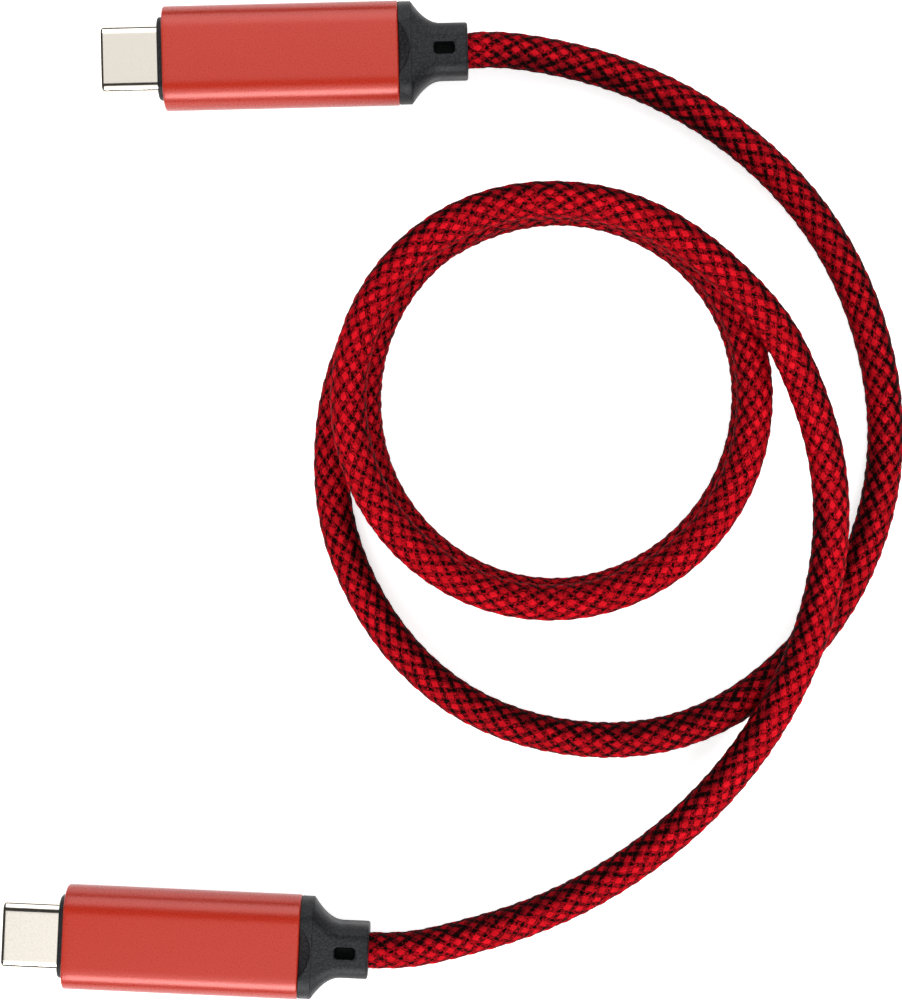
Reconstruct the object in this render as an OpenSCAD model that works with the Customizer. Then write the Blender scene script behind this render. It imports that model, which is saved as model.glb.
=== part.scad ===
// USB-C to USB-C charging cable with a braided cord and metal-sleeved plugs.
// The cable lies on a flat surface: plug A at the back, plug B at the front,
// both pointing to -X, with the cord laid in stacked turns to their right.
// +Z is up. The origin is on the surface, under the middle of the two plugs.
// Each plug is drawn in its own frame: X runs along the plug towards the cord,
// with x = 0 at the middle of the sleeve and z = 0 on the sleeve's flat underside.

/* [Plug sleeve] */
// Length of the aluminium sleeve
sleeve_l = 28; // [27:0.5:29]
// Width of the sleeve
sleeve_w = 12.4; // [12.2:0.1:13]
// Thickness of the sleeve from underside to top
sleeve_h = 6.1; // [6:0.1:6.6]
// Wall of the sleeve
sleeve_t = 0.8; // [0.6:0.1:0.8]

/* [USB-C connector] */
// Width of the connector shell
tip_w = 8.25; // [8.2:0.05:8.3]
// Height of the connector shell
tip_h = 2.4; // [2.35:0.05:2.45]
// Wall of the connector shell
tip_t = 0.2; // [0.15:0.05:0.25]
// Length of connector that stands out of the bezel
tip_l = 6.8; // [6.6:0.1:7]
// Contacts in each row
contact_n = 12; // [8:1:12]

/* [Bezel and rear cap] */
// Width of the front bezel's nose
bezel_w = 9.85; // [9.4:0.05:10.2]
// How far the bezel stands out of the sleeve
bezel_l = 0.7; // [0.5:0.1:1]
// Thickness of the rear cap's flange
flange_t = 1.6; // [1.2:0.1:1.8]
// Length of the rear cap outside the sleeve
cap_l = 8.25; // [8:0.25:9]
// Width of the neck that the cord leaves
neck_w = 6.5; // [6.4:0.1:7]
// Height of the neck
neck_h = 5.4; // [5.2:0.1:5.6]
// Length of the relief slots in the neck
slot_l = 2.45; // [2:0.05:2.5]
// Width of the relief slots
slot_w = 1.45; // [1:0.05:1.6]

/* [Cord] */
// Outside diameter of the braided cord
cord_d = 4.3; // [3.8:0.1:4.3]
// Sides of the plain cord tubes
cord_sides = 10; // [8:1:12]
// Diameter of the cord's inner jacket inside the plugs
jacket_d = 3.6; // [3.2:0.1:3.6]

/* [Hidden] */

$fn = 64;

// Where the plugs lie: sleeve centre in plan and turn about Z, in degrees.
plug_a_at = [5.65, 53.1];
plug_a_turn = 1.4;
plug_b_at = [-6.15, -52.8];
plug_b_turn = -2.6;

half = sleeve_l / 2;
axis_z = sleeve_h / 2;
bezel_end = half + bezel_l;          // distance from sleeve centre to the bezel's nose
tip_end = bezel_end + tip_l;         // and to the connector's mouth
cavity_w = sleeve_w - 2 * sleeve_t;
cavity_h = sleeve_h - 2 * sleeve_t;
neck_end = half + cap_l;
cord_in = 1.35;                      // how deep the cord sits in the neck
board_t = 0.7;

// ---------------------------------------------------------------- cord route
// Points on the cord's centre line: x, y and height, in order from plug A.
run_out = [
    [32.5, 53.9, 2.7], [42, 52.3, 2.15], [51, 49, 2.15], [59.5, 43.9, 2.15],
    [67, 37, 2.15], [72.7, 28.8, 2.15], [76.4, 19.4, 2.15], [78, 9.5, 2.15],
    [77.2, 0, 2.15], [74, -9.2, 2.15], [68.7, -17.2, 2.15], [61, -24, 2.15],
    [52, -28, 2.15], [42, -28.7, 2.15], [32.4, -26.6, 2.15], [24.6, -22.3, 2.15],
    [18.3, -15.8, 2.15], [14, -8, 2.15]
];
// The stacked turns, about their own centre: radius and height of the centre
// line, one point every 22.5 degrees, clockwise from the left-hand side.
turn_centre = [38.7, 11.8];
turn_from = 202.5;
turn_step = -22.5;
turn_points = [
    // first pass, on the surface
    [29.2, 2.15], [26.5, 2.15], [24.8, 2.15], [23.8, 2.15], [23.3, 2.15], [23.3, 2.15],
    [23.3, 2.15], [23.4, 2.15], [23.3, 2.15], [23, 2.15], [22.8, 2.15], [22.8, 2.15],
    [23, 2.15], [23.3, 2.15], [23.4, 2.15], [23.4, 2.15],
    // second pass, climbing onto the first
    [23.4, 2.8], [23.2, 5.4], [23.2, 6.4], [23.2, 6.5], [23.2, 6.5], [23.3, 6.5],
    [23.3, 6.5], [23.4, 6.5], [23.2, 6.5], [23, 6.5], [23, 6.5], [23.2, 6.5],
    [23.5, 6.5], [23.9, 6.5], [24.3, 6.5], [24.6, 6.5],
    // third pass, climbing onto the second
    [24.8, 7.2], [24.8, 9.6], [24.6, 10.6], [24.2, 10.85], [23.6, 10.85], [23, 10.85],
    [23, 10.85], [23.5, 10.85], [25.6, 10.4]
];
// From the top of the stack, over the first pass and down to plug B.
run_in = [
    [66, 15.8, 9.4], [69.5, 6.7, 8.2], [70.6, -3, 7.1], [69.2, -12.8, 6.6],
    [65.6, -22.2, 6.4], [60.1, -31.3, 5.2], [52.9, -39.3, 3.6], [44.4, -45.7, 2.5],
    [35.4, -50.1, 2.15], [27, -52.6, 2.2], [21, -53.8, 2.8]
];

function on_plug(at, turn, x) = [at[0] + x * cos(turn), at[1] + x * sin(turn), axis_z];
function turn_point(i) = let (a = turn_from + i * turn_step, r = turn_points[i][0])
    [turn_centre[0] + r * cos(a), turn_centre[1] + r * sin(a), turn_points[i][1]];

route = concat(
    [on_plug(plug_a_at, plug_a_turn, neck_end - cord_in), on_plug(plug_a_at, plug_a_turn, neck_end)],
    run_out,
    [for (i = [0:len(turn_points) - 1]) turn_point(i)],
    run_in,
    [on_plug(plug_b_at, plug_b_turn, neck_end), on_plug(plug_b_at, plug_b_turn, neck_end - cord_in)]
);
first_turn = 2 + len(run_out);       // route index of the first stacked point
last_point = len(route) - 1;

function unit(v) = v / norm(v);
// Direction of the cord at a route point: along the plug at both ends.
function heading(i) =
    i == 0 ? unit(route[1] - route[0]) :
    i == last_point ? unit(route[last_point] - route[last_point - 1]) :
    i == 1 ? unit(route[1] - route[0]) :
    i == last_point - 1 ? unit(route[last_point] - route[last_point - 1]) :
    unit(unit(route[i + 1] - route[i]) + unit(route[i] - route[i - 1]));
// One ring of the tube, with a corner straight down.
function ring(i, r, n) = let (
        t = heading(i),
        side = unit(cross(t, [0, 0, 1])),
        up = cross(side, t)
    ) [for (k = [0:n - 1]) let (a = 360 * k / n - 90) route[i] + r * cos(a) * side + r * sin(a) * up];

module tube(from, to) {
    n = cord_sides;
    rings = to - from + 1;
    points = [for (i = [from:to]) each ring(i, cord_d / 2, n)];
    walls = [for (i = [0:rings - 2]) for (k = [0:n - 1]) let (
            a = i * n + k, b = i * n + (k + 1) % n, c = a + n, d = b + n
        ) each [[a, c, b], [b, c, d]]];
    start = [for (k = [0:n - 1]) k];
    finish = [for (k = [n - 1:-1:0]) (rings - 1) * n + k];
    polyhedron(points = points, faces = concat([start], walls, [finish]), convexity = 12);
}

module cord_outer_run() { color([0.72, 0.08, 0.1]) tube(0, first_turn); }
module cord_lower_turn() { color([0.66, 0.07, 0.09]) tube(first_turn, first_turn + 16); }
module cord_upper_turn() { color([0.74, 0.09, 0.11]) tube(first_turn + 16, first_turn + 32); }
module cord_end_run() { color([0.68, 0.07, 0.09]) tube(first_turn + 32, last_point); }

// ------------------------------------------------------------- plug helpers
module at_a() { translate([plug_a_at[0], plug_a_at[1], 0]) rotate([0, 0, plug_a_turn]) children(); }
module at_b() { translate([plug_b_at[0], plug_b_at[1], 0]) rotate([0, 0, plug_b_turn]) children(); }

// Outline with round corners, centred.
module outline(w, h, r) {
    square([w - 2 * r, h], center = true);
    square([w, h - 2 * r], center = true);
    for (x = [-1, 1]) for (y = [-1, 1]) translate([x * (w / 2 - r), y * (h / 2 - r)]) circle(r = r);
}
// Flat bar with half-round edges, centred.
module stadium(w, h) {
    square([w - h, h], center = true);
    for (x = [-1, 1]) translate([x * (w - h) / 2, 0]) circle(r = h / 2);
}
// Carries an outline along X from x0 to x1, on the plug's axis.
module along(x0, x1) {
    translate([x0, 0, axis_z]) rotate([90, 0, 90]) linear_extrude(height = x1 - x0) children();
}
// Box from its two corners, heights counted from the plug's axis.
module block(x0, x1, y0, y1, z0, z1) {
    translate([x0, y0, axis_z + z0]) cube([x1 - x0, y1 - y0, z1 - z0]);
}

// ------------------------------------------------------------ sub-parts
// Extruded and anodised aluminium sleeve, open at both ends.
module sleeve() {
    color([0.76, 0.22, 0.18]) along(-half, half) difference() {
        outline(sleeve_w, sleeve_h, 2.9);
        outline(cavity_w, cavity_h, 2.1);
    }
}

// Black front piece round the connector.
module front_bezel() {
    color([0.13, 0.13, 0.14]) difference() {
        union() {
            along(-bezel_end, -half) outline(bezel_w, 4.2, 1.9);
            along(-half, -half + 1.5) outline(cavity_w, cavity_h, 2.1);
        }
        along(-bezel_end - 1, -half + 2) stadium(tip_w, tip_h);
    }
}

// Section of the cap's flare: half width and half height at a distance t
// (0 to 1) along it, a quarter ellipse from the flange down to the neck.
flare_l = 3.4;
function fall(t) = (1 - t) * (1 - t);
function flare_w(t) = neck_w / 2 + (sleeve_w / 2 - 0.25 - neck_w / 2) * fall(t);
function flare_h(t) = neck_h / 2 + (sleeve_h / 2 - 0.12 - neck_h / 2) * fall(t);
function flare_r(t) = 1.7 + 1.0 * fall(t);
function corner(w, h, r) = [for (q = [0:3]) for (k = [0:6]) let (
        a = q * 90 + k * 15,
        sx = (q == 0 || q == 3) ? 1 : -1,
        sy = (q < 2) ? 1 : -1
    ) [sx * (w - r) + r * cos(a), sy * (h - r) + r * sin(a)]];
flare_t = [0, 0.04, 0.1, 0.18, 0.28, 0.4, 0.55, 0.75, 1];
module flare() {
    x0 = half + flange_t;
    rows = concat([for (t = flare_t) [x0 + t * flare_l, corner(flare_w(t), flare_h(t), flare_r(t))]],
        [[neck_end - 0.25, corner(neck_w / 2, neck_h / 2, 1.7)],
         [neck_end, corner(neck_w / 2 - 0.25, neck_h / 2 - 0.25, 1.5)]]);
    n = len(rows[0][1]);
    points = [for (row = rows) for (p = row[1]) [row[0], p[0], axis_z + p[1]]];
    walls = [for (i = [0:len(rows) - 2]) for (k = [0:n - 1]) let (
            a = i * n + k, b = i * n + (k + 1) % n, c = a + n, d = b + n
        ) each [[a, c, b], [b, c, d]]];
    polyhedron(points = points,
        faces = concat([[for (k = [0:n - 1]) k]], walls,
            [[for (k = [n - 1:-1:0]) (len(rows) - 1) * n + k]]), convexity = 4);
}
// Black rear cap with its flange, flared strain relief and two relief slots.
module rear_cap() {
    slot_x = half + 5.45;
    color([0.13, 0.13, 0.14]) difference() {
        union() {
            along(half - 1.2, half) outline(cavity_w, cavity_h, 2.1);
            along(half, half + flange_t) outline(sleeve_w - 0.2, sleeve_h - 0.1, 2.85);
            flare();
        }
        translate([half - 2, 0, axis_z]) rotate([0, 90, 0]) cylinder(r = jacket_d / 2, h = cap_l + 2 - cord_in);
        translate([neck_end - cord_in, 0, axis_z]) rotate([0, 90, 0]) cylinder(r = cord_d / 2 + 0.05, h = cord_in + 1);
        for (s = [-1, 1]) for (end = [-1, 1])
            translate([slot_x + end * (slot_l - slot_w) / 2, 0, axis_z + s * (neck_h / 2 - 0.35)])
                cylinder(r = slot_w / 2, h = 0.9, center = true);
        for (s = [-1, 1])
            translate([slot_x, 0, axis_z + s * (neck_h / 2 - 0.35)])
                cube([slot_l - slot_w, slot_w, 0.9], center = true);
    }
}

// Stainless shell of the connector, open to the front.
module connector_shell() {
    color([0.85, 0.83, 0.8]) along(-tip_end, -11) difference() {
        stadium(tip_w, tip_h);
        stadium(tip_w - 2 * tip_t, tip_h - 2 * tip_t);
    }
}

// Plastic block inside the shell, with the socket's slot and the contact bays.
in_w = tip_w - 2 * tip_t;
in_h = tip_h - 2 * tip_t;
bay = (contact_n * 0.5 + 0.1) / 2;
module contact_housing() {
    color([0.16, 0.16, 0.17]) difference() {
        along(-tip_end + 0.3, -10) stadium(in_w, in_h);
        block(-tip_end, -15.5, -3.45, 3.45, -0.475, 0.475);
        block(-tip_end, -9, -bay, bay, board_t / 2, 0.475);
        block(-tip_end, -9, -bay, bay, -0.475, -board_t / 2);
        block(-15.5, -9, -3.3, 3.3, -0.1, 0.1);
        block(-20, -17.5, -2.6, 2.6, in_h / 2 - 0.1, in_h);
        block(-20, -17.5, -2.6, 2.6, -in_h, -in_h / 2 + 0.1);
    }
}

// A row of spring contacts, each a flat strip with a raised touch point.
module contacts(s) {
    profile = [[-20.8, 0.35], [-20.8, 0.47], [-8.6, 0.47], [-8.6, 0.35], [-19.4, 0.35],
               [-19.7, 0.22], [-20.1, 0.22], [-20.4, 0.35]];
    color([0.85, 0.68, 0.3]) for (k = [0:contact_n - 1])
        translate([0, (k - (contact_n - 1) / 2) * 0.5 + 0.125, axis_z])
            rotate([90, 0, 0]) linear_extrude(height = 0.25)
                polygon([for (p = profile) [p[0], s * p[1]]]);
}
module upper_contacts() { contacts(1); }
module lower_contacts() { contacts(-1); }

// Centre plate whose two arms latch in the socket's side notches.
module latch_plate() {
    color([0.75, 0.76, 0.78]) union() {
        block(-15.5, -10, -3.3, 3.3, -0.1, 0.1);
        for (s = [-1, 1]) {
            block(-20.6, -15.5, s > 0 ? 3.05 : -3.3, s > 0 ? 3.3 : -3.05, -0.1, 0.1);
            block(-20.6, -20, s > 0 ? 2.9 : -3.05, s > 0 ? 3.05 : -2.9, -0.1, 0.1);
        }
    }
}

// Thin ground springs between housing and shell.
module ground_spring(s) {
    color([0.78, 0.79, 0.8]) difference() {
        block(-20, -17.5, -2.6, 2.6, s > 0 ? in_h / 2 - 0.1 : -in_h / 2, s > 0 ? in_h / 2 : -in_h / 2 + 0.1);
        for (y = [-1.3, 1.3]) block(-19.6, -18, y - 0.3, y + 0.3, -2, 2);
    }
}
module upper_ground_spring() { ground_spring(1); }
module lower_ground_spring() { ground_spring(-1); }

// Two folded steel halves round the circuit board, gripping the shell.
module shield_half(s) {
    color([0.7, 0.71, 0.73]) intersection() {
        union() {
            along(-11.5, -11) difference() { outline(9.2, 3.4, 1); stadium(tip_w, tip_h); }
            along(-11, -1) difference() { outline(9.2, 3.4, 1); outline(8.8, 3, 0.8); }
        }
        block(-12, 0, -6, 6, s > 0 ? 0 : -3, s > 0 ? 3 : 0);
    }
}
module upper_shield_half() { shield_half(1); }
module lower_shield_half() { shield_half(-1); }

// Moulding that fills the sleeve round the board, the wires and the jacket.
module inner_mould() {
    color([0.85, 0.84, 0.8]) difference() {
        along(-half + 1.5, half - 1.2) outline(cavity_w, cavity_h, 2.1);
        along(-half, -11.5) stadium(tip_w, tip_h);
        along(-11.5, -1) outline(9.2, 3.4, 1);
        along(-1, 5) outline(8.4, 3, 0.6);
        translate([4, 0, axis_z]) rotate([0, 90, 0]) cylinder(r = jacket_d / 2, h = half);
        translate([6, 0, axis_z]) rotate([0, 90, 0]) cylinder(r = 2.1, h = 3);
    }
}

// Small circuit board that joins the contacts to the wires.
module circuit_board() {
    color([0.1, 0.35, 0.22]) difference() {
        block(-10, -1.5, -4.1, 4.1, -board_t / 2, board_t / 2);
        for (s = [-1, 1]) block(-8, -6.5, s > 0 ? 3.7 : -5, s > 0 ? 5 : -3.7, -1, 1);
    }
}
module marker_chip() { color([0.08, 0.08, 0.09]) block(-7.4, -5.2, -1.4, 1, board_t / 2, board_t / 2 + 0.55); }
module board_components() {
    color([0.6, 0.5, 0.4]) for (p = [[-7, 2.6], [-5.4, 2.6], [-6.2, -2.6]])
        block(p[0] - 0.5, p[0] + 0.5, p[1] - 0.25, p[1] + 0.25, board_t / 2, board_t / 2 + 0.45);
}

// Wires: sideways place, side of the board (1 above, -1 below) and radius.
power = [0.8, 1, 0.36];
ground = [0.8, -1, 0.36];
config = [-0.7, 1, 0.22];
data = [[-0.3, -1, 0.2], [-0.95, -1, 0.2]];
module wire(w) {
    translate([-3.5, w[0], axis_z + w[1] * (board_t / 2 + w[2])]) rotate([0, 90, 0]) cylinder(r = w[2], h = 8.5);
}
module power_wire() { color([0.8, 0.1, 0.1]) wire(power); }
module ground_wire() { color([0.1, 0.1, 0.1]) wire(ground); }
module config_wire() { color([0.2, 0.3, 0.8]) wire(config); }
module data_wires() { color([0.9, 0.9, 0.9]) for (w = data) wire(w); }
module solder_joints() {
    color([0.8, 0.8, 0.82]) for (w = concat([power, ground, config], data))
        translate([-3.5 - w[2], w[0], axis_z + w[1] * (board_t / 2 + w[2])])
            cylinder(r = w[2], h = 2 * w[2], center = true);
}

// Ring that clamps the cord's jacket, and the jacket's end inside the plug.
module crimp_ring() {
    color([0.8, 0.65, 0.4]) translate([6, 0, axis_z]) rotate([0, 90, 0]) difference() {
        cylinder(r = 2.1, h = 3);
        translate([0, 0, -1]) cylinder(r = jacket_d / 2, h = 5);
    }
}
module jacket_end() {
    color([0.2, 0.2, 0.2]) translate([5, 0, axis_z]) rotate([0, 90, 0]) cylinder(r = jacket_d / 2, h = neck_end - cord_in - 5);
}

cord_outer_run();
cord_lower_turn();
cord_upper_turn();
cord_end_run();

at_a() sleeve();  // plug_a_sleeve
at_a() front_bezel();  // plug_a_front_bezel
at_a() rear_cap();  // plug_a_rear_cap
at_a() inner_mould();  // plug_a_inner_mould
at_a() connector_shell();  // plug_a_connector_shell
at_a() contact_housing();  // plug_a_contact_housing
at_a() upper_contacts();  // plug_a_upper_contacts
at_a() lower_contacts();  // plug_a_lower_contacts
at_a() latch_plate();  // plug_a_latch_plate
at_a() upper_ground_spring();  // plug_a_upper_ground_spring
at_a() lower_ground_spring();  // plug_a_lower_ground_spring
at_a() upper_shield_half();  // plug_a_upper_shield_half
at_a() lower_shield_half();  // plug_a_lower_shield_half
at_a() circuit_board();  // plug_a_circuit_board
at_a() marker_chip();  // plug_a_marker_chip
at_a() board_components();  // plug_a_board_components
at_a() power_wire();  // plug_a_power_wire
at_a() ground_wire();  // plug_a_ground_wire
at_a() data_wires();  // plug_a_data_wires
at_a() config_wire();  // plug_a_config_wire
at_a() solder_joints();  // plug_a_solder_joints
at_a() crimp_ring();  // plug_a_crimp_ring
at_a() jacket_end();  // plug_a_jacket_end

at_b() sleeve();  // plug_b_sleeve
at_b() front_bezel();  // plug_b_front_bezel
at_b() rear_cap();  // plug_b_rear_cap
at_b() inner_mould();  // plug_b_inner_mould
at_b() connector_shell();  // plug_b_connector_shell
at_b() contact_housing();  // plug_b_contact_housing
at_b() upper_contacts();  // plug_b_upper_contacts
at_b() lower_contacts();  // plug_b_lower_contacts
at_b() latch_plate();  // plug_b_latch_plate
at_b() upper_ground_spring();  // plug_b_upper_ground_spring
at_b() lower_ground_spring();  // plug_b_lower_ground_spring
at_b() upper_shield_half();  // plug_b_upper_shield_half
at_b() lower_shield_half();  // plug_b_lower_shield_half
at_b() circuit_board();  // plug_b_circuit_board
at_b() board_components();  // plug_b_board_components
at_b() power_wire();  // plug_b_power_wire
at_b() ground_wire();  // plug_b_ground_wire
at_b() data_wires();  // plug_b_data_wires
at_b() config_wire();  // plug_b_config_wire
at_b() solder_joints();  // plug_b_solder_joints
at_b() crimp_ring();  // plug_b_crimp_ring
at_b() jacket_end();  // plug_b_jacket_end
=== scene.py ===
import bpy
import bmesh
import math
import numpy as np
from mathutils import Matrix, Vector


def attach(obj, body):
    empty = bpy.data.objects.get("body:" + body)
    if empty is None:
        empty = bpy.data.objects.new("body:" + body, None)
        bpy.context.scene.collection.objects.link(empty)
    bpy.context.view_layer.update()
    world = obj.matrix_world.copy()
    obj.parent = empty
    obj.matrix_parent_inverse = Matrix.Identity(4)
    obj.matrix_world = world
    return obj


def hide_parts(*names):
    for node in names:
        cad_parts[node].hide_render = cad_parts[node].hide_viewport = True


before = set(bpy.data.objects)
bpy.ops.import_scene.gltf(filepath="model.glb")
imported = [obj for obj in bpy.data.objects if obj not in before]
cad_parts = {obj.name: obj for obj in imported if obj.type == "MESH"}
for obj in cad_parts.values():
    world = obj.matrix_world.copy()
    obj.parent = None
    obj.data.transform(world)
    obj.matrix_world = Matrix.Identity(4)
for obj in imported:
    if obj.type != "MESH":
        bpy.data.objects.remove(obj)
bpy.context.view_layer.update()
scene = bpy.context.scene
MM = 0.001

# ------------------------------------------------------------------ sizes, in mm, as in part.scad
SLEEVE_L, SLEEVE_W, SLEEVE_H, SLEEVE_T = 28.0, 12.4, 6.1, 0.8
HALF = SLEEVE_L / 2
AXIS_Z = SLEEVE_H / 2
BEZEL_END = HALF + 0.7
TIP_END = BEZEL_END + 6.8
TIP_W, TIP_H, TIP_T = 8.25, 2.4, 0.2
FLANGE_T, FLARE_L = 1.6, 3.4
NECK_W, NECK_H = 6.5, 5.4
NECK_END = HALF + 8.25
CORD_IN = 1.35
CORD_D = 4.3
PLUGS = {"plug_a": ((5.65, 53.1), 1.4), "plug_b": ((-6.15, -52.8), -2.6)}


def on_plug(plug, x, y=0.0, z=0.0):
    """A point of the plug's own frame in the row frame, in mm. z counts from the plug's axis."""
    (px, py), turn = PLUGS[plug]
    c, s = math.cos(math.radians(turn)), math.sin(math.radians(turn))
    return (px + x * c - y * s, py + x * s + y * c, AXIS_Z + z)


# ------------------------------------------------------------------ camera
cam_data = bpy.data.cameras.new("camera")
cam_data.sensor_fit = "AUTO"
cam_data.sensor_width = 36.0
cam_data.lens = 36.0 * 2.0645
cam_data.clip_start, cam_data.clip_end = 0.01, 20.0
cam = bpy.data.objects.new("camera", cam_data)
scene.collection.objects.link(cam)
cam.location = (0.025885, 0.0, 0.25)
cam.rotation_euler = (0.0, 0.0, 0.0)
scene.camera = cam
scene.view_settings.view_transform = "Standard"
scene.view_settings.look = "None"

# ------------------------------------------------------------------ node helpers


def new_material(name):
    m = bpy.data.materials.new(name)
    m.use_nodes = True
    nt = m.node_tree
    nt.nodes.clear()
    out = nt.nodes.new("ShaderNodeOutputMaterial")
    sh = nt.nodes.new("ShaderNodeBsdfPrincipled")
    nt.links.new(sh.outputs["BSDF"], out.inputs["Surface"])
    return m, nt, sh


def put(nt, socket, value):
    if isinstance(value, bpy.types.NodeSocket):
        nt.links.new(value, socket)
    else:
        socket.default_value = value


def calc(nt, op, a, b=None, c=None, clamp=False):
    n = nt.nodes.new("ShaderNodeMath")
    n.operation = op
    n.use_clamp = clamp
    for i, v in enumerate((a, b, c)):
        if v is not None:
            put(nt, n.inputs[i], v)
    return n.outputs[0]


def mix_colour(nt, f, a, b):
    n = nt.nodes.new("ShaderNodeMix")
    n.data_type = "RGBA"
    put(nt, n.inputs[0], f)
    put(nt, n.inputs[6], a if isinstance(a, bpy.types.NodeSocket) else (*a, 1))
    put(nt, n.inputs[7], b if isinstance(b, bpy.types.NodeSocket) else (*b, 1))
    return n.outputs[2]


def span(nt, value, lo, hi, to_lo, to_hi, smooth=False):
    n = nt.nodes.new("ShaderNodeMapRange")
    n.interpolation_type = "SMOOTHSTEP" if smooth else "LINEAR"
    put(nt, n.inputs[0], value)
    for i, v in enumerate((lo, hi, to_lo, to_hi)):
        n.inputs[i + 1].default_value = v
    return n.outputs[0]


def noise(nt, vector, scale, detail=3.0, rough=0.5):
    n = nt.nodes.new("ShaderNodeTexNoise")
    n.inputs["Scale"].default_value = scale
    n.inputs["Detail"].default_value = detail
    n.inputs["Roughness"].default_value = rough
    nt.links.new(vector, n.inputs["Vector"])
    return n.outputs["Fac"]


def stretched(nt, vector, scale):
    n = nt.nodes.new("ShaderNodeMapping")
    n.inputs["Scale"].default_value = scale
    nt.links.new(vector, n.inputs["Vector"])
    return n.outputs[0]


def where(nt):
    return nt.nodes.new("ShaderNodeTexCoord").outputs["Object"]


def uv(nt, name="UVMap"):
    n = nt.nodes.new("ShaderNodeUVMap")
    n.uv_map = name
    return n.outputs["UV"]


def bump(nt, sh, height, strength, distance):
    n = nt.nodes.new("ShaderNodeBump")
    n.inputs["Strength"].default_value = strength
    n.inputs["Distance"].default_value = distance
    nt.links.new(height, n.inputs["Height"])
    nt.links.new(n.outputs["Normal"], sh.inputs["Normal"])


def fixed(sh, **values):
    for key, v in values.items():
        sh.inputs[key.replace("_", " ")].default_value = v


# ------------------------------------------------------------------ braid, one formula for shape and colour
# a counts half pitches along the cord and b counts half rows round it. Yarns of one
# hand lie at whole values of (a-b)/2 and those of the other hand at whole values of
# (a+b)/2. Each goes over two and under two. Yarns are red and dark in turn.
HALF_PITCH = 0.58
ROWS = 32
RED_RISE, DARK_RISE = 0.40, 0.26
RED_THICK, DARK_THICK = 0.64, 0.48
LOWEST = -0.72


def braid_height(a, b):
    p, q = (a + b) / 2, (a - b) / 2
    m, k = np.round(q), np.round(p)
    out = []
    for d, n, wave in (
        (q - m, m, np.cos(math.pi / 2 * (p - m - 0.5))),
        (p - k, k, np.cos(math.pi / 2 * (q - k + 2.5))),
    ):
        odd = np.mod(n, 2)
        body = np.sqrt(np.clip(1 - (2 * d) ** 2, 0, None))
        rise, thick = RED_RISE + odd * (DARK_RISE - RED_RISE), RED_THICK + odd * (DARK_THICK - RED_THICK)
        out.append(rise * wave + thick * body)
    return np.maximum(np.maximum(*out), LOWEST)


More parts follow.
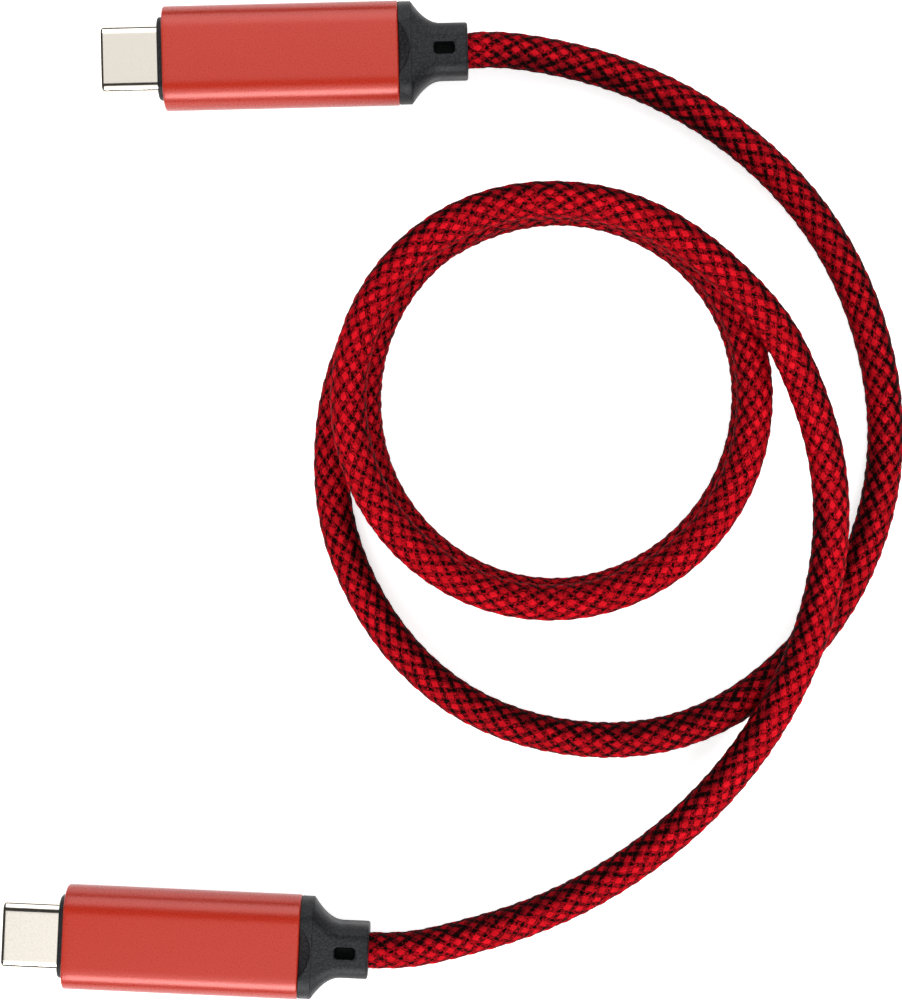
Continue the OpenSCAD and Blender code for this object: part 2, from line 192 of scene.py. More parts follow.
def braid_material():
    m, nt, sh = new_material("braided_cord")
    sep = nt.nodes.new("ShaderNodeSeparateXYZ")
    nt.links.new(uv(nt, "braid"), sep.inputs[0])
    a, b = sep.outputs[0], sep.outputs[1]
    p = calc(nt, "MULTIPLY", calc(nt, "ADD", a, b), 0.5)
    q = calc(nt, "MULTIPLY", calc(nt, "SUBTRACT", a, b), 0.5)

    def family(centre, along, shift):
        n = calc(nt, "ROUND", centre)
        d = calc(nt, "SUBTRACT", centre, n)
        odd = calc(nt, "FLOORED_MODULO", n, 2.0)
        r = calc(nt, "MULTIPLY", d, 2.0)
        body = calc(nt, "SQRT", calc(nt, "MAXIMUM", calc(nt, "SUBTRACT", 1.0, calc(nt, "MULTIPLY", r, r)), 0.0))
        turn = calc(nt, "MULTIPLY", calc(nt, "ADD", calc(nt, "SUBTRACT", along, n), shift), math.pi / 2)
        rise = calc(nt, "MULTIPLY_ADD", odd, DARK_RISE - RED_RISE, RED_RISE)
        thick = calc(nt, "MULTIPLY_ADD", odd, DARK_THICK - RED_THICK, RED_THICK)
        h = calc(nt, "ADD", calc(nt, "MULTIPLY", calc(nt, "COSINE", turn), rise), calc(nt, "MULTIPLY", body, thick))
        return n, d, odd, h

    n1, d1, odd1, h1 = family(q, p, -0.5)
    n2, d2, odd2, h2 = family(p, q, 2.5)
    first = calc(nt, "GREATER_THAN", h1, h2)
    height = calc(nt, "MAXIMUM", h1, h2)
    pick = lambda x, y: calc(nt, "ADD", calc(nt, "MULTIPLY", x, first), calc(nt, "MULTIPLY", y, calc(nt, "SUBTRACT", 1.0, first)))

    # filaments run along whichever yarn is on top
    def filaments(u, v, seed):
        comb = nt.nodes.new("ShaderNodeCombineXYZ")
        nt.links.new(calc(nt, "MULTIPLY", u, 2.1), comb.inputs[0])
        nt.links.new(calc(nt, "MULTIPLY", v, 4.4), comb.inputs[1])
        comb.inputs[2].default_value = seed
        return noise(nt, comb.outputs[0], 1.0, 2.0, 0.6)

    streak = pick(filaments(p, q, 1.7), filaments(q, p, 9.3))
    comb = nt.nodes.new("ShaderNodeCombineXYZ")
    nt.links.new(p, comb.inputs[0])
    nt.links.new(q, comb.inputs[1])
    patch = noise(nt, comb.outputs[0], 0.8, 2.0)
    cell = nt.nodes.new("ShaderNodeCombineXYZ")
    nt.links.new(n1, cell.inputs[0])
    nt.links.new(n2, cell.inputs[1])
    dice = nt.nodes.new("ShaderNodeTexWhiteNoise")
    nt.links.new(cell.outputs[0], dice.inputs["Vector"])
    lot = dice.outputs["Value"]
    # painted shade: a darker side of the cord, read from a UV layer and jittered per cell and in patches
    side = nt.nodes.new("ShaderNodeSeparateXYZ")
    nt.links.new(uv(nt, "zone"), side.inputs[0])
    zone = calc(nt, "ADD", side.outputs[0], span(nt, lot, 0, 1, -0.16, 0.16), clamp=True)
    zone = calc(nt, "ADD", zone, span(nt, patch, 0.35, 0.65, 0.16, -0.06), clamp=True)
    odd = pick(odd1, odd2)
    other = pick(odd2, odd1)
    across, length = pick(d1, d2), pick(d2, d1)
    # a red yarn over a red one is bright; over a dark one it sinks lower and gets a darker red, a painted shade. Each
    # comes as a lit and a shaded copy, mixed by the painted shade along one side of the cord; filaments show as streaks
    lit = mix_colour(nt, span(nt, streak, 0.42, 0.58, 0, 1), (0.045, 0.001, 0.002), (0.40, 0.003, 0.009))
    dim = mix_colour(nt, span(nt, streak, 0.44, 0.60, 0, 1), (0.004, 0.001, 0.001), (0.16, 0.002, 0.006))
    dull = mix_colour(nt, zone, lit, dim)
    top_lit = mix_colour(nt, lot, (0.44, 0.004, 0.009), (0.70, 0.007, 0.016))
    top_dim = mix_colour(nt, lot, (0.10, 0.002, 0.004), (0.42, 0.004, 0.010))
    bright = mix_colour(nt, span(nt, streak, 0.30, 0.50, 0.5, 0), mix_colour(nt, zone, top_lit, top_dim), (0.16, 0.002, 0.005))
    # a dark yarn shows as a short black fleck with red filaments round it, largest where two dark yarns cross, and
    # larger still in the painted shade along one side of the cord
    reach = calc(nt, "ADD", calc(nt, "MULTIPLY_ADD", other, 0.15, 0.15), calc(nt, "MULTIPLY", zone, 0.22))
    reach = calc(nt, "ADD", reach, span(nt, streak, 0.3, 0.7, 0.13, -0.13))
    far = calc(nt, "SQRT", calc(nt, "ADD", calc(nt, "MULTIPLY", across, across), calc(nt, "MULTIPLY", calc(nt, "MULTIPLY", length, length), 0.52)))
    fleck = span(nt, calc(nt, "SUBTRACT", reach, far), -0.05, 0.06, 0, 1, smooth=True)
    dark_yarn = mix_colour(nt, fleck, dull, (0.004, 0.0008, 0.0008))
    yarn = mix_colour(nt, odd, mix_colour(nt, other, bright, dull), dark_yarn)
    # painted shade: the colour darkens towards black where the yarns dive under the next ones, standing in for the
    # shadow in the gaps
    painted_gap_shade = span(nt, height, 0.0, 0.38, 0.0, 1.0, smooth=True)
    colour = mix_colour(nt, painted_gap_shade, (0.004, 0.001, 0.001), yarn)
    nt.links.new(colour, sh.inputs["Base Color"])
    nt.links.new(span(nt, streak, 0.3, 0.7, 0.52, 0.70), sh.inputs["Roughness"])
    fixed(sh, Specular_IOR_Level=0.02)
    bump(nt, sh, streak, 0.55, 0.00006)
    return m


# ------------------------------------------------------------------ other materials


def anodised():
    """Fine bead-blasted aluminium, dyed red: faint lines along the extrusion, tiny pits."""
    m, nt, sh = new_material("anodised_sleeve")
    t = uv(nt)
    lines = noise(nt, stretched(nt, t, (0.05, 3.2, 1)), 1.0, 3.0)
    pits = noise(nt, t, 5.0, 3.0, 0.65)
    cloud = noise(nt, t, 0.12, 2.0)
    c = mix_colour(nt, span(nt, lines, 0.3, 0.7, 0, 1), (0.384, 0.014, 0.003), (0.400, 0.016, 0.004))
    c = mix_colour(nt, span(nt, pits, 0.35, 0.65, 0, 0.7), c, (0.438, 0.028, 0.011))
    c = mix_colour(nt, span(nt, cloud, 0.3, 0.7, 0, 0.3), c, (0.412, 0.022, 0.008))
    nt.links.new(c, sh.inputs["Base Color"])
    nt.links.new(span(nt, pits, 0.3, 0.7, 0.25, 0.33), sh.inputs["Roughness"])
    fixed(sh, Metallic=0.12, Specular_IOR_Level=0.58)
    bump(nt, sh, pits, 0.32, 0.00004)
    return m


def black_plastic():
    """Matt moulded plastic with a fine spark-eroded grain."""
    m, nt, sh = new_material("black_plastic")
    t = where(nt)
    grain = noise(nt, t, 4300.0, 3.0, 0.65)
    wide = noise(nt, t, 420.0, 2.0)
    c = mix_colour(nt, span(nt, grain, 0.42, 0.66, 0, 1), (0.002, 0.0024, 0.003), (0.019, 0.021, 0.025))
    nt.links.new(c, sh.inputs["Base Color"])
    nt.links.new(span(nt, wide, 0.3, 0.7, 0.40, 0.52), sh.inputs["Roughness"])
    fixed(sh, Specular_IOR_Level=0.29)
    bump(nt, sh, grain, 0.75, 0.00008)
    return m


def slot_painted_shade():
    """The same plastic inside the relief slots, painted darker and nearly without gloss: painted shade for the deep
    recess.
    """
    m, nt, sh = new_material("black_plastic_slot")
    grain = noise(nt, where(nt), 4300.0, 3.0, 0.65)
    nt.links.new(mix_colour(nt, span(nt, grain, 0.4, 0.7, 0, 1), (0.0015, 0.0018, 0.002), (0.006, 0.0065, 0.007)), sh.inputs["Base Color"])
    fixed(sh, Roughness=0.7, Specular_IOR_Level=0.05)
    return m


def steel():
    """Nickel-plated stamped shell: nearly polished, with faint drawing lines and small dull spots."""
    m, nt, sh = new_material("connector_steel")
    t = uv(nt)
    lines = noise(nt, stretched(nt, t, (0.25, 9.0, 1)), 1.0, 3.0)
    spots = noise(nt, t, 3.5, 3.0)
    c = mix_colour(nt, span(nt, spots, 0.35, 0.7, 0, 1), (0.74, 0.69, 0.615), (0.715, 0.665, 0.59))
    nt.links.new(c, sh.inputs["Base Color"])
    nt.links.new(span(nt, spots, 0.3, 0.7, 0.10, 0.15), sh.inputs["Roughness"])
    fixed(sh, Metallic=1.0)
    bump(nt, sh, lines, 0.03, 0.00001)
    return m


def simple(name, low, high, rough, metal=0.0, scale=900.0, stretch=(1, 1, 1), strength=0.12):
    m, nt, sh = new_material(name)
    t = stretched(nt, where(nt), stretch)
    n = noise(nt, t, scale, 3.0)
    nt.links.new(mix_colour(nt, span(nt, n, 0.3, 0.7, 0, 1), low, high), sh.inputs["Base Color"])
    nt.links.new(span(nt, n, 0.3, 0.7, rough - 0.05, rough + 0.08), sh.inputs["Roughness"])
    fixed(sh, Metallic=metal)
    bump(nt, sh, n, strength, 0.00002)
    return m


BRAID, ANODISED, BLACK, STEEL = braid_material(), anodised(), black_plastic(), steel()
SLOT_SHADE = slot_painted_shade()
INNER_STEEL = simple("inner_steel", (0.52, 0.53, 0.55), (0.66, 0.67, 0.69), 0.32, 1.0, 1400.0, (0.15, 1, 1))
GOLD = simple("gold_contacts", (0.80, 0.52, 0.16), (0.93, 0.66, 0.26), 0.24, 1.0, 2600.0, (0.2, 1, 1))
HOUSING = simple("housing_plastic", (0.012, 0.013, 0.014), (0.028, 0.029, 0.031), 0.44, 0.0, 2200.0)
MOULD = simple("inner_mould", (0.62, 0.60, 0.55), (0.72, 0.70, 0.65), 0.55, 0.0, 700.0)
BOARD = simple("circuit_board", (0.010, 0.075, 0.030), (0.016, 0.105, 0.044), 0.30, 0.0, 1600.0)
CHIP = simple("board_components", (0.016, 0.016, 0.018), (0.034, 0.034, 0.036), 0.42, 0.0, 2600.0)
PARTS = simple("board_small_parts", (0.30, 0.21, 0.12), (0.42, 0.31, 0.19), 0.45, 0.0, 2600.0)
SOLDER = simple("solder", (0.60, 0.61, 0.63), (0.76, 0.77, 0.79), 0.28, 1.0, 2200.0)
CRIMP = simple("crimp_ring", (0.62, 0.44, 0.20), (0.74, 0.56, 0.30), 0.34, 1.0, 1400.0)
JACKET = simple("cord_jacket", (0.018, 0.018, 0.019), (0.034, 0.034, 0.036), 0.60, 0.0, 1500.0)
WIRES = {
    "power_wire": simple("wire_red", (0.50, 0.012, 0.012), (0.62, 0.020, 0.018), 0.36),
    "ground_wire": simple("wire_black", (0.014, 0.014, 0.015), (0.028, 0.028, 0.030), 0.36),
    "config_wire": simple("wire_blue", (0.030, 0.070, 0.42), (0.045, 0.10, 0.55), 0.36),
    "data_wires": simple("wire_white", (0.70, 0.70, 0.70), (0.80, 0.80, 0.80), 0.36),
}

# ------------------------------------------------------------------ mesh helpers


def outline(w, h, r, nc=10, nw=20, nh=4):
    """Rectangle with round corners as (y, z) rows, always the same number of them."""
    r = min(r, w / 2 - 0.002, h / 2 - 0.002)
    pts = []
    for q, (sy, sz) in enumerate(((1, 1), (-1, 1), (-1, -1), (1, -1))):
        start = [(w / 2, -(h / 2 - r)), (w / 2 - r, h / 2), (-w / 2, h / 2 - r), (-(w / 2 - r), -h / 2)][q]
        end = [(w / 2, h / 2 - r), (-(w / 2 - r), h / 2), (-w / 2, -(h / 2 - r)), (w / 2 - r, -h / 2)][q]
        n = nh if q % 2 == 0 else nw
        for i in range(n):
            f = i / n
            pts.append((start[0] + (end[0] - start[0]) * f, start[1] + (end[1] - start[1]) * f))
        # the corner that follows this side
        cy, cz = [(w / 2 - r, h / 2 - r), (-(w / 2 - r), h / 2 - r), (-(w / 2 - r), -(h / 2 - r)), (w / 2 - r, -(h / 2 - r))][q]
        for i in range(nc):
            ang = math.radians(90 * q + 90 * i / nc)
            pts.append((cy + r * math.cos(ang), cz + r * math.sin(ang)))
    return np.array(pts)


def loft(name, plug, sections, material, nodes, sharp=38):
    """A closed shell of rings: the last ring joins the first, so it has a real bore."""
    n = len(sections[0][1])
    co, rows = [], len(sections)
    for x, pts in sections:
        for y, z in pts:
            dx = 0.0
            co.append([v * MM for v in on_plug(plug, x + dx, y, z)])
    faces, uvs = [], []
    lengths = []
    for x, pts in sections:
        seg = np.linalg.norm(np.roll(pts, -1, axis=0) - pts, axis=1)
        lengths.append(np.r_[0, np.cumsum(seg)])
    travel = [0.0]
    for i in range(1, rows + 1):
        d = np.linalg.norm(np.r_[sections[i % rows][0] - sections[i - 1][0], sections[i % rows][1][0] - sections[i - 1][1][0]])
        travel.append(travel[-1] + d)
    for i in range(rows):
        j = (i + 1) % rows
        for k in range(n):
            l = (k + 1) % n
            faces.append((i * n + k, i * n + l, j * n + l, j * n + k))
            uvs += [(travel[i], lengths[i][k]), (travel[i], lengths[i][k + 1]), (travel[i + 1], lengths[j][k + 1]), (travel[i + 1], lengths[j][k])]
    me = bpy.data.meshes.new(name)
    me.from_pydata(co, [], faces)
    layer = me.uv_layers.new(name="UVMap")
    layer.data.foreach_set("uv", np.array(uvs, np.float32).ravel())
    bm = bmesh.new()
    bm.from_mesh(me)
    bmesh.ops.recalc_face_normals(bm, faces=bm.faces)
    bm.to_mesh(me)
    bm.free()
    me.shade_smooth()
    me.set_sharp_from_angle(angle=math.radians(sharp))
    me.materials.append(material)
    ob = bpy.data.objects.new(name, me)
    scene.collection.objects.link(ob)
    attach(ob, "root")
    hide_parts(*nodes)
    return ob


def rim(x0, x1, w, h, r, e, steps=5):
    """Rings of a rounded outer edge of radius e, from the face at x0 to the full outline at x1."""
    out = []
    sign = 1 if x1 > x0 else -1
    for i in range(steps + 1):
        a = math.pi / 2 * i / steps
        inset = e * (1 - math.sin(a))
        out.append((x0 + sign * e * (1 - math.cos(a)), outline(w - 2 * inset, h - 2 * inset, r - inset)))
    return out


# ------------------------------------------------------------------ plug pieces
def make_sleeve(plug):
    e = 0.22
    iw, ih = SLEEVE_W - 2 * SLEEVE_T, SLEEVE_H - 2 * SLEEVE_T
    rows = [(-HALF + 0.12, outline(iw, ih, 2.1)), (-HALF, outline(iw + 0.24, ih + 0.24, 2.2))]
    rows += rim(-HALF, 0, SLEEVE_W, SLEEVE_H, 2.9, e)
    rows += [(x, outline(SLEEVE_W, SLEEVE_H, 2.9)) for x in np.linspace(-HALF + 1, HALF - 1, 15)]
    rows += rim(HALF, 0, SLEEVE_W, SLEEVE_H, 2.9, e)[::-1]
    rows += [(HALF, outline(iw + 0.24, ih + 0.24, 2.2)), (HALF - 0.12, outline(iw, ih, 2.1)), (0.0, outline(iw, ih, 2.1))]
    return loft(plug + "_sleeve_shell", plug, rows, ANODISED, [plug + "_sleeve"])


def make_bezel(plug):
    w, h, r = 9.85, 4.2, 1.9
    bore = lambda x, g=0.0: (x, outline(TIP_W + 0.02 + g, TIP_H + 0.02 + g, TIP_H / 2))
    rows = [bore(-BEZEL_END + 0.1), bore(-BEZEL_END, 0.2)]
    rows += rim(-BEZEL_END, 0, w, h, r, 0.24, 8)
    rows += [(-HALF, outline(w, h, r)), (-HALF, outline(10.78, 4.48, 2.09)), (-HALF + 1.5, outline(10.78, 4.48, 2.09)), bore(-HALF + 1.5)]
    return loft(plug + "_front_bezel_nose", plug, rows, BLACK, [plug + "_front_bezel"])


def fall(t):
    return (1 - t) ** 2


def make_cap(plug):
    nw = 34
    o = lambda w, h, r: outline(w, h, r, nc=12, nw=nw, nh=8)
    full_w, full_h = SLEEVE_W - 0.2, SLEEVE_H - 0.1
    rows = [(HALF - 1.2, o(10.78, 4.48, 2.09)), (HALF, o(10.78, 4.48, 2.09))]
    e = 0.10
    for i in range(4):
        a = math.pi / 2 * i / 3
        s = e * (1 - math.sin(a))
        rows.append((HALF + 0.004 + e * (1 - math.cos(a)), o(full_w - 2 * s, full_h - 2 * s, 2.85 - s)))
    for x in np.linspace(HALF + 0.16, HALF + FLANGE_T - 0.20, 28):
        rows.append((x, o(full_w, full_h, 2.85)))
    for i in range(1, 5):
        a = math.pi / 2 * i / 4
        rows.append((HALF + FLANGE_T - 0.20 + 0.16 * math.sin(a), o(full_w - 0.3 * (1 - math.cos(a)), full_h - 0.14 * (1 - math.cos(a)), 2.80)))
    # shallow crescent scooped out of the flange, above and below
    for i, (x, pts) in enumerate(rows):
        if x < HALF + 0.002:
            continue
        pts = pts.copy()
        for k, (y, z) in enumerate(pts):
            if abs(z) > 2.0 and abs(y) < 3.2:
                edge = HALF + 1.38 * (1 - (y / 3.2) ** 2)
                into = (edge - x) / 0.18
                if into > 0:
                    s = min(1.0, into)
                    pts[k, 1] -= math.copysign((0.10 * s * s * (3 - 2 * s) + 0.37 * max(0.0, edge - x)), z)
        rows[i] = (x, pts)
    x0 = HALF + FLANGE_T
    for t in [0.0, 0.01, 0.025, 0.045, 0.07, 0.10, 0.14, 0.18, 0.23, 0.28, 0.34, 0.41, 0.49, 0.58, 0.68, 0.79, 0.9, 1.0]:
        f = fall(t)
        rows.append((x0 + t * FLARE_L, o(NECK_W + (SLEEVE_W - 0.5 - NECK_W) * f, NECK_H + (SLEEVE_H - 0.24 - NECK_H) * f, 1.7 + 1.0 * f)))
    for x in np.linspace(x0 + FLARE_L + 0.5, NECK_END - 0.32, 4):
        rows.append((x, o(NECK_W, NECK_H, 1.7)))
    for i in range(1, 7):
        a = math.pi / 2 * i / 6
        s = 0.30 * (1 - math.cos(a))
        rows.append((NECK_END - 0.30 + 0.30 * math.sin(a), o(NECK_W - 2 * s, NECK_H - 2 * s, 1.7 - s)))
    ring = o(NECK_W, NECK_H, 1.7)
    ring = ring / np.linalg.norm(ring, axis=1)[:, None]
    for x, r in ((NECK_END, 2.38), (NECK_END - 0.06, 2.26), (NECK_END - 0.2, 2.2), (NECK_END - CORD_IN, 2.2), (NECK_END - CORD_IN, 1.8), (HALF - 1.2, 1.8)):
        rows.append((x, ring * r))
    cap = loft(plug + "_rear_cap_flare", plug, rows, BLACK, [plug + "_rear_cap"], sharp=50)
    # two blind relief slots, 0.8 mm deep, with a slightly broken edge
    for side, s in (("top", 1), ("under", -1)):
        me = bpy.data.meshes.new("cut")
        bm = bmesh.new()
        loops = []
        for z, g in ((NECK_H / 2 - 0.80, 0.0), (NECK_H / 2 - 0.10, 0.0), (NECK_H / 2 - 0.03, 0.05), (NECK_H / 2 + 0.02, 0.12), (NECK_H / 2 + 0.4, 0.12)):
            shape = outline(2.45 + 2 * g, 1.45 + 2 * g, 0.42 + g, nc=6, nw=2, nh=2)
            loops.append([bm.verts.new([v * MM for v in on_plug(plug, HALF + 5.45 + u, v2, s * z)]) for u, v2 in shape])
        n = len(loops[0])
        for i in range(len(loops) - 1):
            for k in range(n):
                bm.faces.new((loops[i][k], loops[i][(k + 1) % n], loops[i + 1][(k + 1) % n], loops[i + 1][k]))
        bm.faces.new(loops[0])
        bm.faces.new(loops[-1])
        bmesh.ops.recalc_face_normals(bm, faces=bm.faces)
        bm.to_mesh(me)
        bm.free()
        cutter = bpy.data.objects.new("cut", me)
        scene.collection.objects.link(cutter)
        mod = cap.modifiers.new("slot", "BOOLEAN")
        mod.operation, mod.solver, mod.object = "DIFFERENCE", "EXACT", cutter
        dg = bpy.context.evaluated_depsgraph_get()
        made = bpy.data.meshes.new_from_object(cap.evaluated_get(dg))
        cap.modifiers.clear()
        old, cap.data = cap.data, made
        made.name = cap.name
        bpy.data.objects.remove(cutter)
    cap.data.materials.clear()
    cap.data.materials.append(BLACK)
    cap.data.materials.append(SLOT_SHADE)
    start = np.array(on_plug(plug, 0, 0, 0), float)
    axes = np.array([np.array(on_plug(plug, *e), float) - start for e in ((1, 0, 0), (0, 1, 0), (0, 0, 1))])
    mid = np.empty(3 * len(cap.data.polygons))
    cap.data.polygons.foreach_get("center", mid)
    u, v, w = ((mid.reshape(-1, 3) / MM - start) @ axes.T).T
    # faces inside the slots get the darker plastic, a painted shade for the recess
    inside = (abs(u - HALF - 5.45) < 1.30) & (abs(v) < 0.80) & (abs(w) > 1.5) & (abs(w) < NECK_H / 2 - 0.08)
    cap.data.polygons.foreach_set("material_index", inside.astype(np.int32))
    cap.data.set_sharp_from_angle(angle=math.radians(50))
    return cap


def make_shell(plug):
    o = lambda w, h: outline(w, h, TIP_H / 2, nc=12, nw=16, nh=2)
    rows = [(-TIP_END + 0.42, o(TIP_W - 2 * TIP_T, TIP_H - 2 * TIP_T))]
    for i in range(9):
        a = math.pi / 2 * i / 8
        s = TIP_T * (1 - math.sin(a))
        rows.append((-TIP_END + 0.40 * (1 - math.cos(a)), o(TIP_W - 2 * s, TIP_H - 2 * s)))
    rows += [(x, o(TIP_W, TIP_H)) for x in np.linspace(-TIP_END + 0.6, -11.3, 12)]
    rows += [(-11.0, o(TIP_W, TIP_H)), (-11.0, o(TIP_W - 2 * TIP_T, TIP_H - 2 * TIP_T))]
    return loft(plug + "_connector_tube", plug, rows, STEEL, [plug + "_connector_shell"])


for plug in PLUGS:
    make_sleeve(plug)
    make_bezel(plug)
    make_cap(plug)
    make_shell(plug)

# ------------------------------------------------------------------ cord
RUN_OUT = [
    (32.5, 53.9, 2.7), (42, 52.3, 2.15), (51, 49, 2.15), (59.5, 43.9, 2.15),
    (67, 37, 2.15), (72.7, 28.8, 2.15), (76.4, 19.4, 2.15), (78, 9.5, 2.15),
    (77.2, 0, 2.15), (74, -9.2, 2.15), (68.7, -17.2, 2.15), (61, -24, 2.15),
    (52, -28, 2.15), (42, -28.7, 2.15), (32.4, -26.6, 2.15), (24.6, -22.3, 2.15),
    (18.3, -15.8, 2.15), (14, -8, 2.15),
]
TURNS = [
    (29.2, 2.15), (26.5, 2.15), (24.8, 2.15), (23.8, 2.15), (23.3, 2.15), (23.3, 2.15),
    (23.3, 2.15), (23.4, 2.15), (23.3, 2.15), (23, 2.15), (22.8, 2.15), (22.8, 2.15),
    (23, 2.15), (23.3, 2.15), (23.4, 2.15), (23.4, 2.15),
    (23.4, 2.8), (23.2, 5.4), (23.2, 6.4), (23.2, 6.5), (23.2, 6.5), (23.3, 6.5),
    (23.3, 6.5), (23.4, 6.5), (23.2, 6.5), (23, 6.5), (23, 6.5), (23.2, 6.5),
    (23.5, 6.5), (23.9, 6.5), (24.3, 6.5), (24.6, 6.5),
    (24.8, 7.2), (24.8, 9.6), (24.6, 10.6), (24.2, 10.85), (23.6, 10.85), (23, 10.85),
    (23, 10.85), (23.5, 10.85), (25.6, 10.4),
]
RUN_IN = [
    (66, 15.8, 9.4), (69.5, 6.7, 8.2), (70.6, -3, 7.1), (69.2, -12.8, 6.6),
    (65.6, -22.2, 6.4), (60.1, -31.3, 5.2), (52.9, -39.3, 3.6), (44.4, -45.7, 2.5),
    (35.4, -50.1, 2.15), (27, -52.6, 2.2), (21, -53.8, 2.8),
]


def turn_point(i):
    ang = math.radians(202.5 - 22.5 * i)
    r, z = TURNS[i]
    return (38.7 + r * math.cos(ang), 11.8 + r * math.sin(ang), z)


def centre_line(rings):
    """A smooth curve through the route, as evenly spaced points with the distance of each."""
    pts = [on_plug("plug_a", NECK_END - CORD_IN), on_plug("plug_a", NECK_END)]
    pts += RUN_OUT + [turn_point(i) for i in range(len(TURNS))] + RUN_IN
    pts += [on_plug("plug_b", NECK_END), on_plug("plug_b", NECK_END - CORD_IN)]
    pts = np.array(pts, float)
    q = pts.copy()
    q[1:-1] = pts[1:-1] - (pts[:-2] - 2 * pts[1:-1] + pts[2:]) / 6
    e = np.vstack([2 * q[0] - q[1], q, 2 * q[-1] - q[-2]])
    line = []
    for i in range(len(e) - 3):
        for t in np.linspace(0, 1, 60, endpoint=False):
            w = np.array([(1 - t) ** 3, 3 * t**3 - 6 * t**2 + 4, -3 * t**3 + 3 * t**2 + 3 * t + 1, t**3]) / 6
            line.append(w @ e[i : i + 4])
    line.append(np.array([1, 4, 1]) @ e[-3:] / 6)
    line = np.array(line)
    line[:, 2] = np.maximum(line[:, 2], CORD_D / 2)
    far = np.r_[0, np.cumsum(np.linalg.norm(np.diff(line, axis=0), axis=1))]
    s = np.linspace(0, far[-1], rings)
    return np.stack([np.interp(s, far, line[:, j]) for j in range(3)], axis=1), s


def painted_shade_side(s, ang):
    """Painted shade along one side of the cord, coming and going along its length, for the sides turned away from the
    light, plus a weaker painted shade all round over the first 205 mm: 0 none, 1 full painted shade.
    """
    step = lambda x: np.clip(x, 0, 1) ** 2 * (3 - 2 * np.clip(x, 0, 1))
    stretch = lambda lo, hi: step((s - lo) / 12 + 0.5) * step((hi - s) / 12 + 0.5)
    right = stretch(5, 37) + stretch(80, 178) + 0.5 * stretch(462, 490) + stretch(576, 670) + 0.4 * stretch(205, 460)
    left = 0.7 * stretch(42, 78) + 0.8 * stretch(500, 578) + 0.35 * stretch(2, 40)
    lean = np.cos(ang)
    return np.clip(right[:, None] * step((lean - 0.05) / 0.65) + left[:, None] * step((-lean - 0.05) / 0.65) + 0.30 * stretch(2, 205)[:, None], 0, 1)


def make_cord():
    rings, around = 3400, 88
    centre, s = centre_line(rings)
    t = np.gradient(centre, axis=0)
    t /= np.linalg.norm(t, axis=1)[:, None]
    side = np.cross(t, (0, 0, 1.0))
    side /= np.linalg.norm(side, axis=1)[:, None]
    up = np.cross(side, t)
    ang = np.linspace(0, 2 * math.pi, around + 1)
    # the braid turns slowly and unevenly about the cord, as it does once a cable has been coiled
    twist = 0.036 * s + 0.55 * np.sin(s / 47.0) + 0.3 * np.sin(s / 21.0 + 1.0)
    a = np.repeat((s / HALF_PITCH)[:, None], around + 1, axis=1)
    b = ROWS * ang[None, :] / (2 * math.pi) + twist[:, None]
    h = braid_height(a, b)
    radius = CORD_D / 2 + 0.02 + 0.22 * (h - 0.95)
    v = centre[:, None, :] + radius[:, :around, None] * (
        np.cos(ang[:around])[None, :, None] * side[:, None, :] + np.sin(ang[:around])[None, :, None] * up[:, None, :]
    )
    v[..., 2] = np.maximum(v[..., 2], 0.02)
    co = np.vstack([v.reshape(-1, 3), centre[0], centre[-1]]) * MM
    i, k = np.meshgrid(np.arange(rings - 1), np.arange(around), indexing="ij")
    l = (k + 1) % around
    quads = np.stack([i * around + k, i * around + l, (i + 1) * around + l, (i + 1) * around + k], axis=-1).reshape(-1, 4)
    quad_uv = np.stack(
        [np.stack([a[i + di, k + dk], b[i + di, k + dk]], axis=-1) for di, dk in ((0, 0), (0, 1), (1, 1), (1, 0))], axis=2
    ).reshape(-1, 2)
    ends, end_uv = [], []
    for row, tip, flip in ((0, rings * around, True), (rings - 1, rings * around + 1, False)):
        for j in range(around):
            x, y = row * around + j, row * around + (j + 1) % around
            ends.append((y, x, tip) if flip else (x, y, tip))
            end_uv += [(a[row, j], b[row, j])] * 3
    loops = np.r_[quads.ravel(), np.array(ends).ravel()]
    start = np.r_[np.arange(len(quads)) * 4, len(quads) * 4 + np.arange(len(ends)) * 3]
    me = bpy.data.meshes.new("braided_cord")
    me.vertices.add(len(co))
    me.vertices.foreach_set("co", co.astype(np.float32).ravel())
    me.loops.add(len(loops))
    me.loops.foreach_set("vertex_index", loops.astype(np.int32))
    me.polygons.add(len(start))
    me.polygons.foreach_set("loop_start", start.astype(np.int32))
    me.update(calc_edges=True)
    layer = me.uv_layers.new(name="braid")
    layer.data.foreach_set("uv", np.vstack([quad_uv, np.array(end_uv)]).astype(np.float32).ravel())
    # painted shade along one side of the cord, stored in a second UV layer
    painted_shade_tone = painted_shade_side(s, ang)
    quad_painted_shade = np.stack([painted_shade_tone[i + di, k + dk] for di, dk in ((0, 0), (0, 1), (1, 1), (1, 0))], axis=2).ravel()
    quad_painted_shade = np.r_[quad_painted_shade, np.zeros(len(end_uv))]
    layer = me.uv_layers.new(name="zone")
    layer.data.foreach_set("uv", np.stack([quad_painted_shade, np.zeros(len(quad_painted_shade))], axis=1).astype(np.float32).ravel())
    me.validate()
    me.shade_smooth()
    me.materials.append(BRAID)
    ob = bpy.data.objects.new("braided_cord", me)
    scene.collection.objects.link(ob)
    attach(ob, "root")
    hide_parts("cord_outer_run", "cord_lower_turn", "cord_upper_turn", "cord_end_run")
    return ob


make_cord()

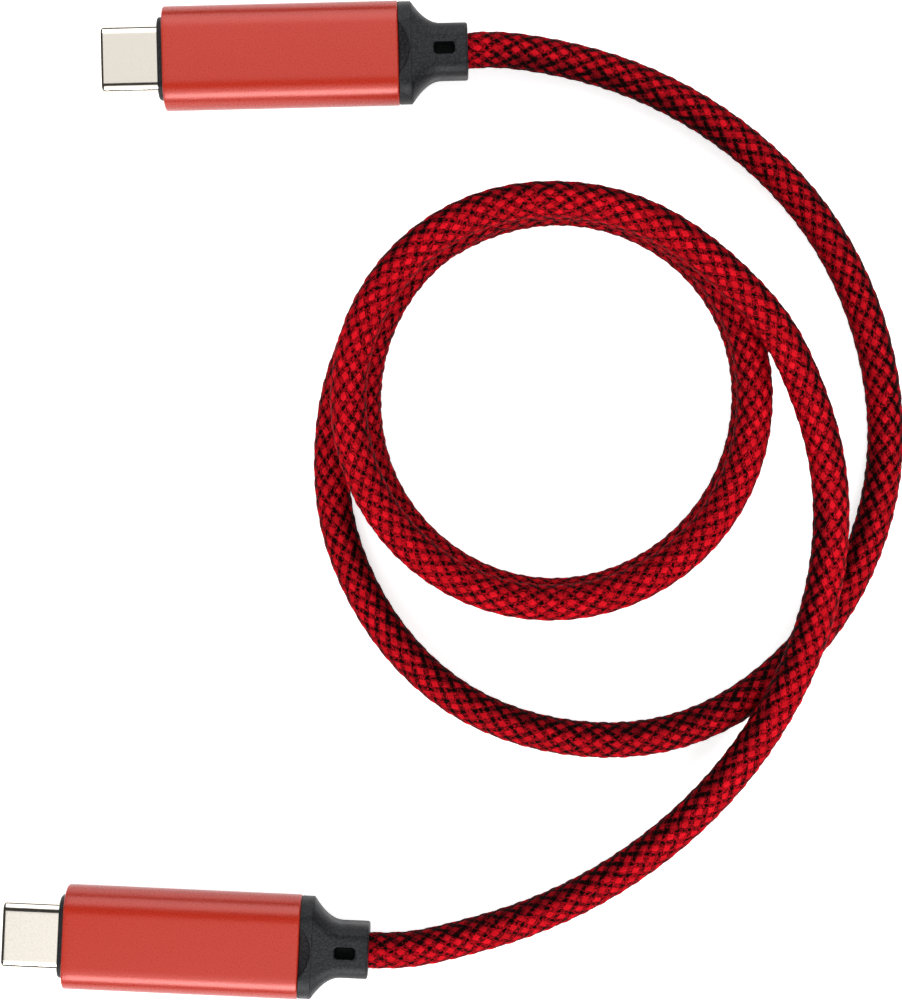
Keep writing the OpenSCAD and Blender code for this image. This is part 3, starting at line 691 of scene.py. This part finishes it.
# ------------------------------------------------------------------ materials of the pieces kept from the CAD model
KEPT = {
    "inner_mould": MOULD, "contact_housing": HOUSING, "upper_contacts": GOLD, "lower_contacts": GOLD,
    "latch_plate": INNER_STEEL, "upper_ground_spring": INNER_STEEL, "lower_ground_spring": INNER_STEEL,
    "upper_shield_half": INNER_STEEL, "lower_shield_half": INNER_STEEL, "circuit_board": BOARD,
    "marker_chip": CHIP, "board_components": PARTS, "solder_joints": SOLDER, "crimp_ring": CRIMP,
    "jacket_end": JACKET, **WIRES,
}
for name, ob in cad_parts.items():
    kind = name.replace("plug_a_", "").replace("plug_b_", "")
    if kind in KEPT:
        ob.data.materials.clear()
        ob.data.materials.append(KEPT[kind])

# ------------------------------------------------------------------ floor, light and surroundings
me = bpy.data.meshes.new("floor")
bm = bmesh.new()
bmesh.ops.create_grid(bm, x_segments=8, y_segments=8, size=3.0)
bm.to_mesh(me)
bm.free()
floor = bpy.data.objects.new("floor", me)
floor.location = (0.026, 0, -0.0001)
scene.collection.objects.link(floor)
fm, fnt, fsh = new_material("floor_paper")
paper = noise(fnt, where(fnt), 60.0, 3.0)
fnt.links.new(mix_colour(fnt, paper, (0.90, 0.90, 0.90), (0.93, 0.93, 0.93)), fsh.inputs["Base Color"])
fixed(fsh, Roughness=0.9, Specular_IOR_Level=0.1, Emission_Color=(1, 1, 1, 1), Emission_Strength=0.62)
me.materials.append(fm)
floor.visible_diffuse = False

world = bpy.data.worlds.new("studio")
scene.world = world
world.use_nodes = True
bg = world.node_tree.nodes["Background"]
bg.inputs["Color"].default_value = (1.0, 0.99, 0.98, 1)
wt = world.node_tree
down = wt.nodes.new("ShaderNodeSeparateXYZ")
wt.links.new(wt.nodes.new("ShaderNodeTexCoord").outputs["Generated"], down.inputs[0])
wt.links.new(span(wt, down.outputs[2], -0.03, 0.03, 0.14, 0.05), bg.inputs["Strength"])


def panel(name, low, high, wide, radiance, along="x"):
    """A flat soft panel from one edge to the other, each given as (distance out, height), facing the object."""
    (r0, z0), (r1, z1) = low, high
    if along == "x":
        mid, run, rise = Vector((CX, (r0 + r1) / 2, (z0 + z1) / 2)), Vector((1, 0, 0)), Vector((0, r1 - r0, z1 - z0))
    else:
        mid, run, rise = Vector((CX + (r0 + r1) / 2, 0, (z0 + z1) / 2)), Vector((0, 1, 0)), Vector((r1 - r0, 0, z1 - z0))
    d = bpy.data.lights.new(name, "AREA")
    d.shape, d.size, d.size_y = "RECTANGLE", wide, rise.length
    d.energy = radiance * math.pi * wide * rise.length
    o = bpy.data.objects.new(name, d)
    y = rise.normalized()
    z = run.cross(y)
    if z.dot(mid - Vector((CX, 0, 0))) < 0:
        run, z = -run, -z
    o.matrix_world = Matrix((run, y, z)).transposed().to_4x4()
    o.location = mid
    o.visible_camera = False
    scene.collection.objects.link(o)
    return o


CX = 0.026
panel("front_main", (-0.38, 0.37), (-0.37, 0.15), 0.36, 10.0)
panel("front_high", (-0.16, 0.32), (-0.38, 0.37), 0.40, 1.7)
panel("front_top", (-0.082, 0.277), (-0.16, 0.32), 0.27, 1.27)
panel("back_top", (0.060, 0.200), (0.16, 0.30), 0.27, 1.04)
panel("back_main", (0.16, 0.30), (0.30, 0.10), 0.34, 2.5)
# the two side lights only fill: they don't show as reflections
for rim in (panel("left_rim", (-0.125, 0.095), (-0.145, 0.030), 0.18, 2.6, "y"),
            panel("right_rim", (0.125, 0.095), (0.145, 0.030), 0.18, 2.8, "y")):
    rim.visible_glossy = False
